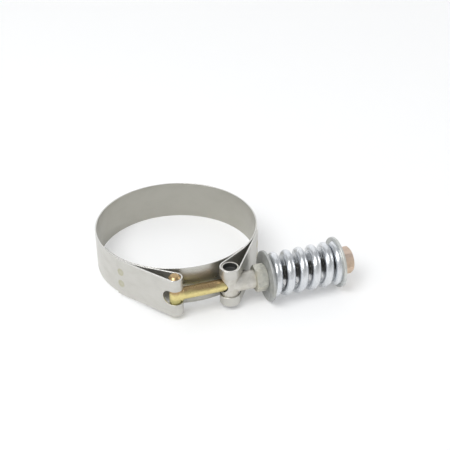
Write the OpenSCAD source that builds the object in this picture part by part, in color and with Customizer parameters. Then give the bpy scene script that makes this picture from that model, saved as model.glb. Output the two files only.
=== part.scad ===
// Spring-loaded T-bolt hose clamp: a flat band folded into a loop at each end, a T-bolt held by one
// loop, a trunnion held by the other, and a spring that the lock nut squeezes against the trunnion.
// The ring's axis is Z, with its origin at the ring's centre. The bolt runs along X on the -Y side.

/* [Band] */
// Radius inside the band, where it goes round the hose
band_r = 37.5; // [32:0.5:60]
// Width of the band
band_w = 19; // [17:0.5:25]
// Thickness of the strip that the band is folded from
band_t = 0.7; // [0.5:0.05:0.9]
// Length of each folded tab that lies on the band
tab_lap = 5; // [4.2:0.2:9]
// Hairline gap between a tab and the band under it
tab_gap = 0.08; // [0.05:0.01:0.15]
// Diameter of a spot weld
weld_d = 3.5; // [2.5:0.1:4]
// Distance between the two spot welds of a tab
weld_pitch = 6.2; // [5:0.1:9]
// Depth of the dent that a spot weld leaves
weld_dent = 0.1; // [0.05:0.05:0.2]

/* [Liner] */
// Thickness of the liner that bridges the gap
liner_t = 0.4; // [0.2:0.05:0.5]
// Angle from the middle of the gap to the liner's welded end
liner_fixed_angle = 76; // [45:1:85]
// Angle from the middle of the gap to the liner's free end
liner_free_angle = 38; // [30:1:60]

/* [Loops] */
// Distance between the axis of the T-head and the axis of the trunnion
pin_spacing = 25.4; // [20:0.2:30]
// Height of the bolt's axis above the outside of the band
bolt_lift = 3.6; // [3:0.1:6]
// Clearance between a pin and its loop, on the radius
pin_clear = 0.05; // [0.02:0.01:0.1]
// Clearance on each side of what passes through the slot of a loop
slot_clear = 0.65; // [0.3:0.05:0.8]
// Length of the T-head's slot along the strip behind its loop
head_slot_run = 4.2; // [3.5:0.1:8]

/* [Trunnion] */
// Diameter of the trunnion's pin
trunnion_d = 7.9; // [7.4:0.1:9]
// Depth by which each end of the pin lies inside the band's edge
trunnion_inset = 0.4; // [0:0.1:1]
// Diameter of the blind hole in each end of the pin
trunnion_hole_d = 6.4; // [5:0.1:6.6]
// Depth of the blind hole in each end of the pin
trunnion_hole_depth = 2.4; // [1:0.1:3]
// Outside diameter of the trunnion's tube
tube_d = 8.4; // [8:0.1:9.4]
// Length of the tube from the pin's axis to its end
tube_len = 11.3; // [10.5:0.1:18]

/* [T-bolt] */
// Diameter over the thread
thread_d = 6.35; // [5.9:0.05:6.6]
// Diameter of the plain shank
shank_d = 5.7; // [5:0.1:5.8]
// Length of the plain shank from the T-head's axis
shank_len = 40; // [30:1:48]
// Diameter of the T-head
head_d = 5.5; // [4.5:0.1:5.7]
// Length by which each end of the T-head stands out of its loop
head_out = 0.8; // [0:0.1:1.5]
// Chamfer at each end of the T-head and at the end of the thread
bolt_chamfer = 0.5; // [0.3:0.1:0.8]
// Length by which the thread stands out of the lock nut
bolt_out = 0.5; // [0:0.1:3]
// Clearance between the bolt and the bores that it passes through, on the radius
bore_clear = 0.2; // [0.1:0.05:0.3]

/* [Spring and its seats] */
// Width across the flats of the hex collar
collar_flats = 11.1; // [9.6:0.1:12]
// Length of the hex collar
collar_len = 5.3; // [4:0.1:8]
// Diameter of the two washers
washer_d = 23.6; // [21.4:0.2:26]
// Thickness of the two washers
washer_t = 1.2; // [1:0.1:2.4]
// Diameter of the spring's wire
wire_d = 4.3; // [4:0.1:4.6]
// Outside diameter of the spring
spring_d = 20.6; // [18:0.2:21.2]
// Length of the spring between the washers
spring_len = 32.8; // [31:0.2:36]
// Number of open turns
open_turns = 4.7; // [4.2:0.05:5]
// Number of closing turns at each end, ground flat
end_turns = 0.6; // [0.5:0.05:0.9]
// Angle from the top of the spring round to its first tip
first_tip_angle = 54; // [-180:1:180]

/* [Lock nut] */
// Width across the flats of the lock nut
nut_flats = 11.1; // [9.6:0.1:12]
// Thickness of the lock nut
nut_t = 6.4; // [4:0.1:8]
// Clearance of the lock nut on the thread, on the radius
nut_clear = 0.05; // [0.02:0.01:0.1]
// Width of the chamfer on the corners of both hexagons
hex_chamfer = 0.7; // [0.3:0.1:1]

/* [Hidden] */

STAINLESS = "#c4c2ba";
YELLOW_ZINC = "#bfa868";
SATIN_ZINC = "#cbc8be";
GREY_ZINC = "#8f9190";
BRIGHT_ZINC = "#d4d8dc";
COPPER_ZINC = "#c39d7c";

$fn = 96;
eps = 0.01;
// Depth by which a straight run of strip starts inside the arc that it leaves, so that they join cleanly
tuck = 0.002;
far = 4 * (band_r + band_w);

// Radii of the strip's layers, from the hose outwards
band_out_r = band_r + band_t;
tab_in_r = band_out_r + tab_gap;
tab_out_r = tab_in_r + band_t;

// Places across and along the bolt
bolt_y = -(band_out_r + bolt_lift);
pin_x = pin_spacing / 2;
tube_end_x = pin_x + tube_len;
collar_end_x = tube_end_x + collar_len;
spring_x = collar_end_x + washer_t;
spring_end_x = spring_x + spring_len;
nut_x = spring_end_x + washer_t;
bolt_end_x = nut_x + nut_t + bolt_out;

// Loops
head_loop_r = head_d / 2 + pin_clear;
trunnion_loop_r = trunnion_d / 2 + pin_clear;
bore_d = thread_d + 2 * bore_clear;
tube_slot_h = tube_d + 2 * slot_clear;
shank_slot_h = shank_d + 2 * slot_clear;
tab_arc = tab_lap / tab_in_r * 180 / PI;

// Spring
wire_sides = 12;
rings_per_turn = 24;
turns = open_turns + 2 * end_turns;
rings = ceil(turns * rings_per_turn);
// Each tip lies against the turn beside it, and the open turns share the rest of the length
tip_pitch = 1.02 * wire_d;
open_pitch = (spring_len - 2 * tip_pitch) / (turns - 2);
end_pitch = (tip_pitch - (1 - end_turns) * open_pitch) / end_turns;
coil_r = (spring_d - wire_d) / 2;

// Direction at an angle from -Y towards +X
function heading(angle) = [sin(angle), -cos(angle)];

// Distance and bearing of a loop's centre, and the angles where its strip leaves the ring and comes back
function loop_distance() = norm([pin_x, bolt_y]);
function loop_bearing() = atan2(pin_x, -bolt_y);
function leave_angle(pin_r) = loop_bearing() + acos((band_out_r + pin_r) / loop_distance());
function return_angle(pin_r) = loop_bearing() + acos((tab_in_r - pin_r) / loop_distance());

// Length of the trunnion's slot along the strip behind its loop, to where the tube is clear of the strip
function tube_slot_run() =
    let (back = return_angle(trunnion_loop_r))
    ((trunnion_loop_r + band_t) * cos(back) + tube_d / 2 + slot_clear) / sin(back);

// Rise of the wire's middle after a number of turns: closing end, open turns, closing end
function wire_rise(turn) =
    end_pitch * min(turn, end_turns)
    + open_pitch * min(max(turn - end_turns, 0), open_turns)
    + end_pitch * max(turn - end_turns - open_turns, 0);

// One ring of points round the wire, ground flat on the planes of the two seats
function wire_ring(turn) = [
    for (side = [0:wire_sides - 1])
        let (around = 360 * (side + 0.5) / wire_sides, reach = coil_r + wire_d / 2 * cos(around))
        [min(max(wire_rise(turn) + wire_d / 2 * sin(around), 0), spring_len),
         reach * sin(360 * turn + first_tip_angle),
         reach * cos(360 * turn + first_tip_angle)]
];

// Wedge from a centre between two angles less than half a turn apart
module wedge(from, to) {
    polygon([[0, 0], far * heading(from), far * heading((from + to) / 2), far * heading(to)]);
}

// Flat ring of a given inside radius and thickness
module ring_2d(inside_r, thickness) {
    difference() {
        circle(inside_r + thickness);
        circle(inside_r);
    }
}

// Part of a disc between two angles
module sector_2d(r, from, to) {
    intersection() {
        circle(r);
        wedge(from, to);
    }
}

// Filled outline of a folded end on the +X side: round its pin, along both runs and over the tab.
// It is drawn once to the outer face of the strip and once to the face inside the fold.
module fold_2d(pin_r, turn_r, tab_r, run_r, tab_end) {
    pin = [pin_x, bolt_y];
    leave = leave_angle(pin_r);
    back = return_angle(pin_r);
    deep = band_r / 2;
    translate(pin) circle(turn_r);
    polygon([
        pin + (turn_r - tuck) * heading(back), (tab_r - tuck) * heading(back), deep * heading(back),
        deep * heading(leave), (run_r - tuck) * heading(leave), pin - (turn_r - tuck) * heading(leave)
    ]);
    sector_2d(tab_r, leave, tab_end);
}

module fold_outside_2d(pin_r) {
    fold_2d(pin_r, pin_r + band_t, tab_out_r, band_r, return_angle(pin_r) + tab_arc);
}

module fold_inside_2d(pin_r) {
    fold_2d(pin_r, pin_r, tab_in_r, band_out_r, return_angle(pin_r) + 2 * tab_arc);
}

// Outline of the whole strip, seen along the ring's axis
module band_2d() {
    difference() {
        union() {
            difference() {
                circle(band_out_r);
                wedge(-leave_angle(head_loop_r), leave_angle(trunnion_loop_r));
            }
            fold_outside_2d(trunnion_loop_r);
            mirror([1, 0]) fold_outside_2d(head_loop_r);
        }
        circle(band_r);
        difference() {
            union() {
                fold_inside_2d(trunnion_loop_r);
                mirror([1, 0]) fold_inside_2d(head_loop_r);
            }
            circle(band_out_r);
        }
    }
}

// Slot of a folded end on the +X side: through the gap side of its loop, round the loop and along the
// outer run to a round end, square to the strip. The end is a hair narrower than the sides that it closes,
// so that it meets them in an edge.
module slot_cut(pin_r, height, run) {
    out_r = pin_r + band_t + eps;
    round_y = run - height / 2;
    run_turn = return_angle(pin_r) - 90;
    translate([pin_x, bolt_y, 0]) {
        translate([0, 0, -height / 2]) linear_extrude(height) {
            translate([-out_r, -out_r]) square([out_r + slot_clear, 2 * out_r]);
            rotate(run_turn) translate([0, -out_r]) square([out_r, round_y + out_r]);
        }
        rotate(run_turn) translate([0, round_y, 0]) rotate([0, 90, 0])
            cylinder(d = height - 2 * eps, h = out_r);
    }
}

// Cylinders that stand out from the ring's axis at the two spot welds of a tab on the +X side
module at_welds(pin_r) {
    middle = return_angle(pin_r) + tab_arc / 2;
    for (side = [-1, 1])
        rotate(middle - 90) translate([0, 0, side * weld_pitch / 2]) rotate([0, 90, 0]) children();
}

module weld_nuggets(pin_r) {
    at_welds(pin_r) translate([0, 0, band_out_r - band_t / 2]) cylinder(d = weld_d, h = band_t);
}

module weld_dents(pin_r) {
    at_welds(pin_r) translate([0, 0, tab_out_r - weld_dent]) cylinder(d = weld_d, h = band_t);
}

module band() {
    color(STAINLESS) difference() {
        union() {
            translate([0, 0, -band_w / 2]) linear_extrude(band_w) band_2d();
            weld_nuggets(trunnion_loop_r);
            mirror([1, 0, 0]) weld_nuggets(head_loop_r);
        }
        slot_cut(trunnion_loop_r, tube_slot_h, tube_slot_run());
        mirror([1, 0, 0]) slot_cut(head_loop_r, shank_slot_h, head_slot_run);
        weld_dents(trunnion_loop_r);
        mirror([1, 0, 0]) weld_dents(head_loop_r);
    }
}

module liner() {
    color(STAINLESS) translate([0, 0, -band_w / 2]) linear_extrude(band_w) intersection() {
        ring_2d(band_r - liner_t, liner_t);
        wedge(-liner_fixed_angle, liner_free_angle);
    }
}

// Turns a shape made along Z to run along the bolt from a place on X
module on_bolt(x) {
    translate([x, bolt_y, 0]) rotate([0, 90, 0]) children();
}

// Round bar with a chamfer at each end
module chamfered_bar(d, length, chamfer) {
    cylinder(d1 = d - 2 * chamfer, d2 = d, h = chamfer);
    translate([0, 0, chamfer]) cylinder(d = d, h = length - 2 * chamfer);
    translate([0, 0, length - chamfer]) cylinder(d1 = d, d2 = d - 2 * chamfer, h = chamfer);
}

module t_bolt() {
    head_len = band_w + 2 * head_out;
    color(YELLOW_ZINC) union() {
        translate([-pin_x, bolt_y, -head_len / 2]) chamfered_bar(head_d, head_len, bolt_chamfer);
        on_bolt(-pin_x) cylinder(d = shank_d, h = shank_len);
        on_bolt(shank_len - pin_x) chamfered_bar(thread_d, bolt_end_x - shank_len + pin_x, bolt_chamfer);
    }
}

module trunnion() {
    pin_len = band_w - 2 * trunnion_inset;
    color(SATIN_ZINC) difference() {
        union() {
            translate([pin_x, bolt_y, -pin_len / 2]) cylinder(d = trunnion_d, h = pin_len);
            on_bolt(pin_x) cylinder(d = tube_d, h = tube_len);
        }
        on_bolt(pin_x - trunnion_d) cylinder(d = bore_d, h = trunnion_d + tube_len + eps);
        for (side = [-1, 1])
            translate([pin_x, bolt_y, side * (pin_len / 2 - trunnion_hole_depth / 2 + eps / 2)])
                cylinder(d = trunnion_hole_d, h = trunnion_hole_depth + eps, center = true);
    }
}

// Hexagon along the bolt with a round bore, its corners chamfered at both ends
module hex_piece(flats, length, hole_d) {
    corner_r = flats / sqrt(3);
    difference() {
        intersection() {
            rotate(30) cylinder(r = corner_r, h = length, $fn = 6);
            union() {
                cylinder(r1 = corner_r - hex_chamfer, r2 = corner_r, h = hex_chamfer / 2);
                translate([0, 0, hex_chamfer / 2]) cylinder(r = corner_r, h = length - hex_chamfer);
                translate([0, 0, length - hex_chamfer / 2])
                    cylinder(r1 = corner_r, r2 = corner_r - hex_chamfer, h = hex_chamfer / 2);
            }
        }
        translate([0, 0, -eps]) cylinder(d = hole_d, h = length + 2 * eps);
    }
}

module washer() {
    difference() {
        cylinder(d = washer_d, h = washer_t);
        translate([0, 0, -eps]) cylinder(d = bore_d, h = washer_t + 2 * eps);
    }
}

module hex_collar() {
    color(GREY_ZINC) on_bolt(tube_end_x) hex_piece(collar_flats, collar_len, bore_d);
}

module inner_washer() {
    color(GREY_ZINC) on_bolt(collar_end_x) washer();
}

module outer_washer() {
    color(GREY_ZINC) on_bolt(spring_end_x) washer();
}

module lock_nut() {
    color(COPPER_ZINC) on_bolt(nut_x) hex_piece(nut_flats, nut_t, thread_d + 2 * nut_clear);
}

module spring() {
    points = [for (ring = [0:rings]) each wire_ring(turns * ring / rings)];
    skin = [
        for (ring = [0:rings - 1], side = [0:wire_sides - 1])
            let (here = ring * wire_sides, there = here + wire_sides, next = (side + 1) % wire_sides)
            each [[here + side, here + next, there + next], [here + side, there + next, there + side]]
    ];
    // Each end face is a row of strips between the ground side and the round side of the wire
    tip = rings * wire_sides;
    ends = [
        for (side = [0:wire_sides / 2 - 2])
            let (far_side = wire_sides - 1 - side)
            each [
                [side, far_side, far_side - 1], [side, far_side - 1, side + 1],
                [tip + side, tip + far_side - 1, tip + far_side],
                [tip + side, tip + side + 1, tip + far_side - 1]
            ]
    ];
    color(BRIGHT_ZINC) translate([spring_x, bolt_y, 0]) polyhedron(points, concat(skin, ends));
}

band();
liner();
t_bolt();
trunnion();
hex_collar();
inner_washer();
spring();
outer_washer();
lock_nut();
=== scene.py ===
"""Looks of a spring-loaded T-bolt hose clamp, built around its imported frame.

Sizes are in millimetres and become metres when a mesh is made. The ring's axis is Z, the bolt runs along +X
from its T-head to the lock nut, and the bolt lies on the -Y side of the ring.
"""

import logging
import math
from dataclasses import dataclass, field, replace
from enum import Enum

import bmesh
import bpy
import numpy as np
from mathutils import Matrix


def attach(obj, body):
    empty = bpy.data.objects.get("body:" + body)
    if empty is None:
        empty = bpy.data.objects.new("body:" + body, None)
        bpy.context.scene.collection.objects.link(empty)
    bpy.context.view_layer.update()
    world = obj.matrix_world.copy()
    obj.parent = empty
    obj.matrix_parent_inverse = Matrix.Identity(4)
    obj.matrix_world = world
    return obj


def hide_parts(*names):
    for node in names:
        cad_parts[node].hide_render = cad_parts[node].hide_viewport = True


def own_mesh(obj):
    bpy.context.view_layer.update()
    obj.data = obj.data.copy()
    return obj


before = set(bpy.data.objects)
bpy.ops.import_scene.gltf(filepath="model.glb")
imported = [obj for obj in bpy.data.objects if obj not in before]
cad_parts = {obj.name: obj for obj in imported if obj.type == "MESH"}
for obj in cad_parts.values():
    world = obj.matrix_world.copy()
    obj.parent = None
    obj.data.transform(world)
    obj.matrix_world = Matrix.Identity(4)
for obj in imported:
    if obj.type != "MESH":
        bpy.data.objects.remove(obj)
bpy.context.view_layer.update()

LOG = logging.getLogger("clamp")
MM = 0.001
WELD_M = 4e-7  # points nearer to each other than this are merged
SHARP_DEG = 38.0  # edges between faces that meet at a larger angle are creases
TINY = 1e-6

Floats = np.ndarray
Colour = tuple[float, float, float]
Scale = tuple[float, float, float]
Pair = tuple[float, float]
Place = tuple[float, float, float]
Corner = tuple[float, float, float]
Piece = bpy.types.Object
Material = bpy.types.Material
Socket = bpy.types.NodeSocket


class Axis(Enum):
    """Directions that round pieces are turned about."""

    RING = "z"
    BOLT = "x"


class Join(Enum):
    """Ways in which one closed piece changes another."""

    ADD = "UNION"
    CUT = "DIFFERENCE"


class Body(Enum):
    """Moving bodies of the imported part."""

    CLAMP = "clamp"
    OUTER_WASHER = "outer_washer"
    LOCK_NUT = "lock_nut"


@dataclass(frozen=True)
class Layout:
    """Places and sizes that several pieces share."""

    band_r: float = 37.5
    band_t: float = 0.7
    band_w: float = 19.0
    tab_gap: float = 0.08
    tab_lap: float = 5.0
    bolt_y: float = -41.8
    pin_x: float = 12.7
    head_loop_r: float = 2.8
    trunnion_loop_r: float = 4.0
    bore_r: float = 3.375
    tube_end_x: float = 24.0
    collar_end_x: float = 29.3
    spring_x: float = 30.5
    spring_end_x: float = 63.3
    nut_x: float = 64.5
    nut_end_x: float = 70.9
    bolt_end_x: float = 71.4

    @property
    def bolt_line(self) -> Pair:
        """The bolt's axis: its y and z."""
        return self.bolt_y, 0.0

    @property
    def tab_in_r(self) -> float:
        """Radius of the side of a tab that faces the band."""
        return self.band_r + self.band_t + self.tab_gap

    def touch_angle(self, radii: float) -> float:
        """Gives the angle from -Y of a tangent on ring and loop, from the sum of their signed radii."""
        reach = math.hypot(self.pin_x, self.bolt_y)
        return math.atan2(self.pin_x, -self.bolt_y) + math.acos(radii / reach)

    def leave_angle(self, loop_r: float) -> float:
        """Gives the angle from -Y where the strip leaves the ring for a loop."""
        return self.touch_angle(self.band_r + self.band_t + loop_r)


LAYOUT = Layout()


# Surfaces


def heading(angle: Floats | float) -> Floats:
    """Gives unit vectors in the ring's plane at angles from -Y towards +X."""
    return np.stack([np.sin(angle), -np.cos(angle)], axis=-1)


def quarter(count: int) -> Floats:
    """Gives a count of even angles from 0 to a quarter turn."""
    return np.linspace(0.0, math.pi / 2, count)


def circle(sides: int) -> Floats:
    """Gives the angles of even points on a circle."""
    return np.arange(sides) * 2 * math.pi / sides


def ladder(places: tuple[float, ...], steps: tuple[int, ...]) -> Floats:
    """Gives numbers that run through places, with a count of even steps from each place to the next."""
    rungs = [np.linspace(*span, endpoint=False) for span in zip(places, places[1:], steps)]
    return np.concatenate([*rungs, places[-1:]])


def smooth(values: Floats) -> Floats:
    """Eases values from 0 to 1 with no slope at either end."""
    held = np.clip(values, 0.0, 1.0)
    return held * held * (3.0 - 2.0 * held)


def mirrored(end: list[Corner]) -> list[Corner]:
    """Gives the corners of a piece with two like ends from those of one end, which start on its axis."""
    return [(-place, radius, bend) for place, radius, bend in end] + end[::-1]


def rounded(corners: list[Corner], closed: bool, steps: int = 5) -> Floats:
    """Draws an outline whose corners are arcs that touch both of their sides.

    Args:
        corners: Places of the corners, each with the radius of its arc.
        closed: Whether the last corner joins the first.
        steps: Points on each arc.

    Returns:
        Points of the outline, one row each.
    """
    places = np.array(corners)[:, :2]
    count, outline = len(corners), []
    for index, (*_, radius) in enumerate(corners):
        here = places[index]
        if radius <= 0 or (not closed and index in (0, count - 1)):
            outline.append(here[None])
            continue
        before = places[index - 1] - here
        after = places[(index + 1) % count] - here
        before, after = before / np.linalg.norm(before), after / np.linalg.norm(after)
        half = math.acos(float(np.clip(before @ after, -1.0, 1.0))) / 2
        middle = before + after
        centre = here + middle / np.linalg.norm(middle) * radius / math.sin(half)
        first = here + before * radius / math.tan(half) - centre
        last = here + after * radius / math.tan(half) - centre
        start = math.atan2(first[1], first[0])
        turn = (math.atan2(last[1], last[0]) - start + math.pi) % (2 * math.pi) - math.pi
        angle = start + turn * np.linspace(0.0, 1.0, steps)
        outline.append(centre + radius * np.stack([np.cos(angle), np.sin(angle)], axis=-1))
    return np.concatenate(outline)


def with_poles(rows: Floats) -> Floats:
    """Closes a tube of rows with a first and a last row at the middles of its ends."""
    ends = [np.broadcast_to(row.mean(axis=0), row.shape) for row in (rows[0], rows[-1])]
    return np.concatenate([ends[:1], rows, ends[1:]])


@dataclass
class Patch:
    """A surface sampled on a grid of two parameters, with the distances that its finish follows."""

    points: Floats
    lay: Floats | None = None
    close_rows: bool = False
    close_columns: bool = False

    def quads(self) -> Floats:
        """Works out the grid's faces.

        Returns:
            Four points' numbers for each face, counted row by row.
        """
        rows, columns = self.points.shape[:2]
        row, column = np.meshgrid(
            np.arange(rows if self.close_rows else rows - 1),
            np.arange(columns if self.close_columns else columns - 1),
            indexing="ij",
        )
        below, beside = (row + 1) % rows, (column + 1) % columns
        corners = ((row, column), (row, beside), (below, beside), (below, column))
        return np.stack([down * columns + over for down, over in corners], axis=-1).reshape(-1, 4)

    def flipped(self) -> "Patch":
        """Gives the mirror image on the other side of the ring's middle plane."""
        lay = None if self.lay is None else self.lay * (1.0, -1.0, 1.0)
        return replace(self, points=self.points * (1.0, 1.0, -1.0), lay=lay)


def shell(name: str, patches: list[Patch], sharp_deg: float = SHARP_DEG) -> Piece:
    """Joins patches along the edges they share into one closed mesh.

    Args:
        name: Name of the piece.
        patches: Surfaces that together close the piece, in millimetres.
        sharp_deg: Angle between faces from which an edge is shaded as a crease.

    Returns:
        The piece, at the origin, with its place in its mesh and its faces outwards.
    """
    starts = np.cumsum([0] + [patch.points[..., 0].size for patch in patches])
    points = np.concatenate([patch.points.reshape(-1, 3) for patch in patches])
    lays = [patch.points if patch.lay is None else patch.lay for patch in patches]
    lay = np.concatenate([rows.reshape(-1, 3) for rows in lays])
    quads = np.concatenate([patch.quads() + start for patch, start in zip(patches, starts)])
    mesh = bpy.data.meshes.new(name)
    mesh.from_pydata((points * MM).tolist(), [], quads.tolist())
    carried = mesh.attributes.new("lay", "FLOAT_VECTOR", "POINT")
    carried.data.foreach_set("vector", lay.astype(np.float32).ravel())
    close(mesh, sharp_deg)
    piece = bpy.data.objects.new(name, mesh)
    bpy.context.scene.collection.objects.link(piece)
    return piece


def close(mesh: bpy.types.Mesh, sharp_deg: float) -> None:
    """Merges points that lie together, turns faces outwards and shades them smooth between creases.

    Args:
        mesh: The mesh.
        sharp_deg: Angle between faces from which an edge is shaded as a crease.
    """
    work = bmesh.new()
    work.from_mesh(mesh)
    bmesh.ops.remove_doubles(work, verts=work.verts, dist=WELD_M)
    bmesh.ops.recalc_face_normals(work, faces=work.faces)
    work.to_mesh(mesh)
    work.free()
    mesh.shade_smooth()
    mesh.set_sharp_from_angle(angle=math.radians(sharp_deg))


def combine(base: Piece, tools: list[tuple[Join, Piece]], sharp_deg: float = SHARP_DEG) -> None:
    """Joins other closed pieces to a piece or cuts them from it, and deletes them.

    Args:
        base: Piece that is changed.
        tools: Ways of joining, with the piece that each one uses.
        sharp_deg: Angle from which an edge of the result is a crease.
    """
    for join, tool in tools:
        change = base.modifiers.new(tool.name, "BOOLEAN")
        change.operation, change.object, change.solver = join.value, tool, "EXACT"
    graph = bpy.context.evaluated_depsgraph_get()
    made = bpy.data.meshes.new_from_object(base.evaluated_get(graph))
    base.modifiers.clear()
    old, base.data = base.data, made
    made.name = base.name
    bpy.data.meshes.remove(old)
    for _, tool in tools:
        spent = tool.data
        bpy.data.objects.remove(tool)
        bpy.data.meshes.remove(spent)
    close(made, sharp_deg)


def turned(profile: Floats, axis: Axis, centre: Pair, sides: int, closed: bool = False) -> Patch:
    """Turns a profile about an axis: each row is a circle of the profile's radius at its place on the axis.

    Args:
        profile: Places along the axis and radii.
        axis: Direction of the axis.
        centre: The axis's place: x and y for RING, y and z for BOLT.
        sides: Points on each circle.
        closed: Whether the profile comes back to its start.

    Returns:
        The surface.
    """
    angle = circle(sides)
    along = np.repeat(profile[:, :1], sides, axis=1)
    first = centre[0] + profile[:, 1:] * np.cos(angle)
    second = centre[1] + profile[:, 1:] * np.sin(angle)
    order = [along, first, second] if axis is Axis.BOLT else [first, second, along]
    return Patch(np.stack(order, axis=-1), close_rows=closed, close_columns=True)


def lathe(
    name: str, corners: list[Corner], axis: Axis, centre: Pair, sides: int, closed: bool = False
) -> Piece:
    """Makes a round piece: an outline with rounded corners, turned about an axis."""
    return shell(name, [turned(rounded(corners, closed), axis, centre, sides, closed)])


# Shader graphs


@dataclass(frozen=True)
class Noise:
    """Noise: spots per unit on each axis, finer layers, their strength, and a shift that sets it apart."""

    scale: Scale
    detail: float = 3.0
    offset: float = 0.0
    layer_strength: float = 0.6


@dataclass(frozen=True)
class Ramp:
    """Eased rise from 0 at one value to a share at another."""

    low: float
    high: float
    share: float = 1.0


class Value:
    """A node's output that takes part in Python expressions: each operator adds a Math node."""

    def __init__(self, graph: "Graph", socket: Socket) -> None:
        """Keeps the graph that new nodes go into and the socket that holds the value."""
        self.graph, self.socket = graph, socket

    def __add__(self, other: "Value | float") -> "Value":
        """Adds."""
        return self.graph.math("ADD", self, other)

    def __sub__(self, other: "Value | float") -> "Value":
        """Takes away."""
        return self.graph.math("SUBTRACT", self, other)

    def __rsub__(self, other: float) -> "Value":
        """Takes away from a number."""
        return self.graph.math("SUBTRACT", other, self)

    def __mul__(self, other: "Value | float") -> "Value":
        """Multiplies."""
        return self.graph.math("MULTIPLY", self, other)

    def __pow__(self, power: float) -> "Value":
        """Raises to a power."""
        return self.graph.math("POWER", self, power)

    __radd__, __rmul__ = __add__, __mul__

    def magnitude(self) -> "Value":
        """Gives the value without its sign."""
        return self.graph.math("ABSOLUTE", self)

    def larger(self, other: "Value | float") -> "Value":
        """Gives the larger of two values."""
        return self.graph.math("MAXIMUM", self, other)

    def reach(self, other: "Value") -> "Value":
        """Gives the distance that two values at right angles make."""
        return (self**2.0 + other**2.0) ** 0.5

    def eased(self, low: float, high: float) -> "Value":
        """Eases from 0 at one value to 1 at another."""
        inputs = {"Value": self, "From Min": low, "From Max": high}
        return self.graph.value("ShaderNodeMapRange", {"interpolation_type": "SMOOTHSTEP"}, inputs)

    def climb(self, ramp: Ramp) -> "Value":
        """Gives the height of a ramp at the value."""
        return self.eased(ramp.low, ramp.high) * ramp.share

    def blend(self, other: "Value", share: float) -> "Value":
        """Gives a share of the value and the rest of another."""
        return self * share + other * (1.0 - share)


class Graph:
    """The nodes of one material."""

    def __init__(self, name: str) -> None:
        """Starts a material without nodes.

        Args:
            name: Name of the material.
        """
        self.material = bpy.data.materials.new(name)
        self.material.use_nodes = True
        self.tree = self.material.node_tree
        self.tree.nodes.clear()

    def node(self, kind: str, settings: dict | None = None, inputs: dict | None = None) -> bpy.types.Node:
        """Adds a node.

        Args:
            kind: Type of the node.
            settings: The node's own settings, set first.
            inputs: Values or links of its sockets, by name or number.

        Returns:
            The node.
        """
        made = self.tree.nodes.new(kind)
        for key, value in (settings or {}).items():
            setattr(made, key, value)
        for key, value in (inputs or {}).items():
            source = value.socket if isinstance(value, Value) else value
            if isinstance(source, Socket):
                self.tree.links.new(source, made.inputs[key])
            else:
                made.inputs[key].default_value = source
        return made

    def value(self, kind: str, settings: dict | None, inputs: dict) -> Value:
        """Adds a node and gives its first output as a value."""
        return Value(self, self.node(kind, settings, inputs).outputs[0])

    def math(self, operation: str, *values: Value | float) -> Value:
        """Adds a Math node on values or numbers."""
        return self.value("ShaderNodeMath", {"operation": operation}, dict(enumerate(values)))

    def lay(self) -> Socket:
        """Gives the distances along and across the piece that it carries with its points."""
        return self.node("ShaderNodeAttribute", {"attribute_name": "lay"}).outputs["Vector"]

    def place(self) -> Socket:
        """Gives the place on the piece, in metres."""
        return self.node("ShaderNodeTexCoord").outputs["Object"]

    def parts(self, vector: Socket) -> list[Value]:
        """Splits a vector into its three values."""
        made = self.node("ShaderNodeSeparateXYZ", inputs={0: vector})
        return [Value(self, socket) for socket in made.outputs]

    def noise(self, vector: Socket, noise: Noise) -> Value:
        """Adds noise that is stretched by its own scale on each axis.

        Args:
            vector: Where the noise is read.
            noise: What it is like.

        Returns:
            Values around a half.
        """
        mapping = {"Vector": vector, "Scale": noise.scale, "Location": (noise.offset,) * 3}
        mapped = self.node("ShaderNodeMapping", inputs=mapping).outputs[0]
        inputs = {"Vector": mapped, "Scale": 1.0, "Detail": noise.detail, "Roughness": noise.layer_strength}
        return self.value("ShaderNodeTexNoise", None, inputs)

    def mix(self, factor: Value, low: Socket | Colour, high: Socket | Colour) -> Socket:
        """Mixes two colours, or their links, by the share of the second."""
        first, second = ((*shade, 1.0) if isinstance(shade, tuple) else shade for shade in (low, high))
        return self.node("ShaderNodeMix", {"data_type": "RGBA"}, {0: factor, 6: first, 7: second}).outputs[2]

    def bump(self, height: Value, depth_mm: float) -> Socket:
        """Turns a height from 0 to 1 into the normal of a relief of a real depth."""
        inputs = {"Strength": 1.0, "Distance": depth_mm * MM, "Height": height}
        return self.node("ShaderNodeBump", inputs=inputs).outputs["Normal"]

    def metal(self, colour: Socket, roughness: Value, normal: Socket, **constants: float) -> Material:
        """Closes the material with a metal surface, with constants for its other sockets."""
        inputs = {"Base Color": colour, "Roughness": roughness, "Normal": normal, "Metallic": 1.0}
        return self.finish(self.node("ShaderNodeBsdfPrincipled", inputs={**inputs, **constants}))

    def finish(self, shader: bpy.types.Node) -> Material:
        """Leads a shader to the output and gives the material."""
        self.node("ShaderNodeOutputMaterial", inputs={"Surface": shader.outputs[0]})
        return self.material


# Finishes


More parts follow.
